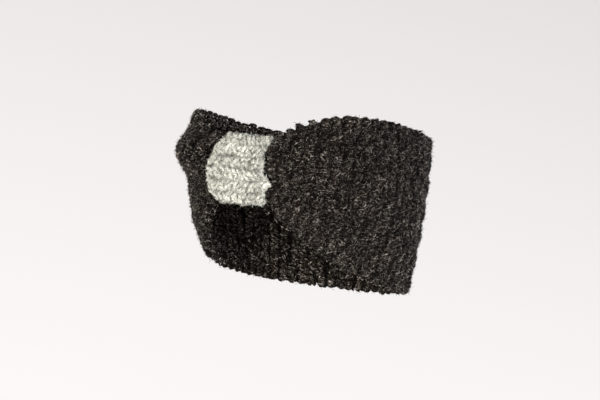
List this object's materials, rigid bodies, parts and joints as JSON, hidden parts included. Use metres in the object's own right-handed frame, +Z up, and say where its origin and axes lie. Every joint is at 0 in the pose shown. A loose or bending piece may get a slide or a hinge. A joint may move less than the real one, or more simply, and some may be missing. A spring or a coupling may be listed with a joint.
{
  "type": "ear warmer headband",
  "caption": "Wide crocheted ear warmer, gathered at the front inside a short sleeve, with a wing that puffs out over each ear.",
  "frame": {"origin": "on the axis of the wearer's head, level with the middle of the sleeve: where a head holds the band", "axes": "+Z up, -Y towards the front, where the sleeve is, and +X towards the wearer's left ear"},
  "size_m": [0.1758, 0.2129, 0.1347],
  "materials": {
    "charcoal_wool": "crocheted heather wool yarn, matt with a fuzzy halo",
    "grey_wool": "crocheted pale grey heather wool yarn, matt with a fuzzy halo"
  },
  "bodies": {
    "root": {"charcoal_band": "charcoal_wool", "grey_sleeve": "grey_wool"}
  },
  "joints": []
}
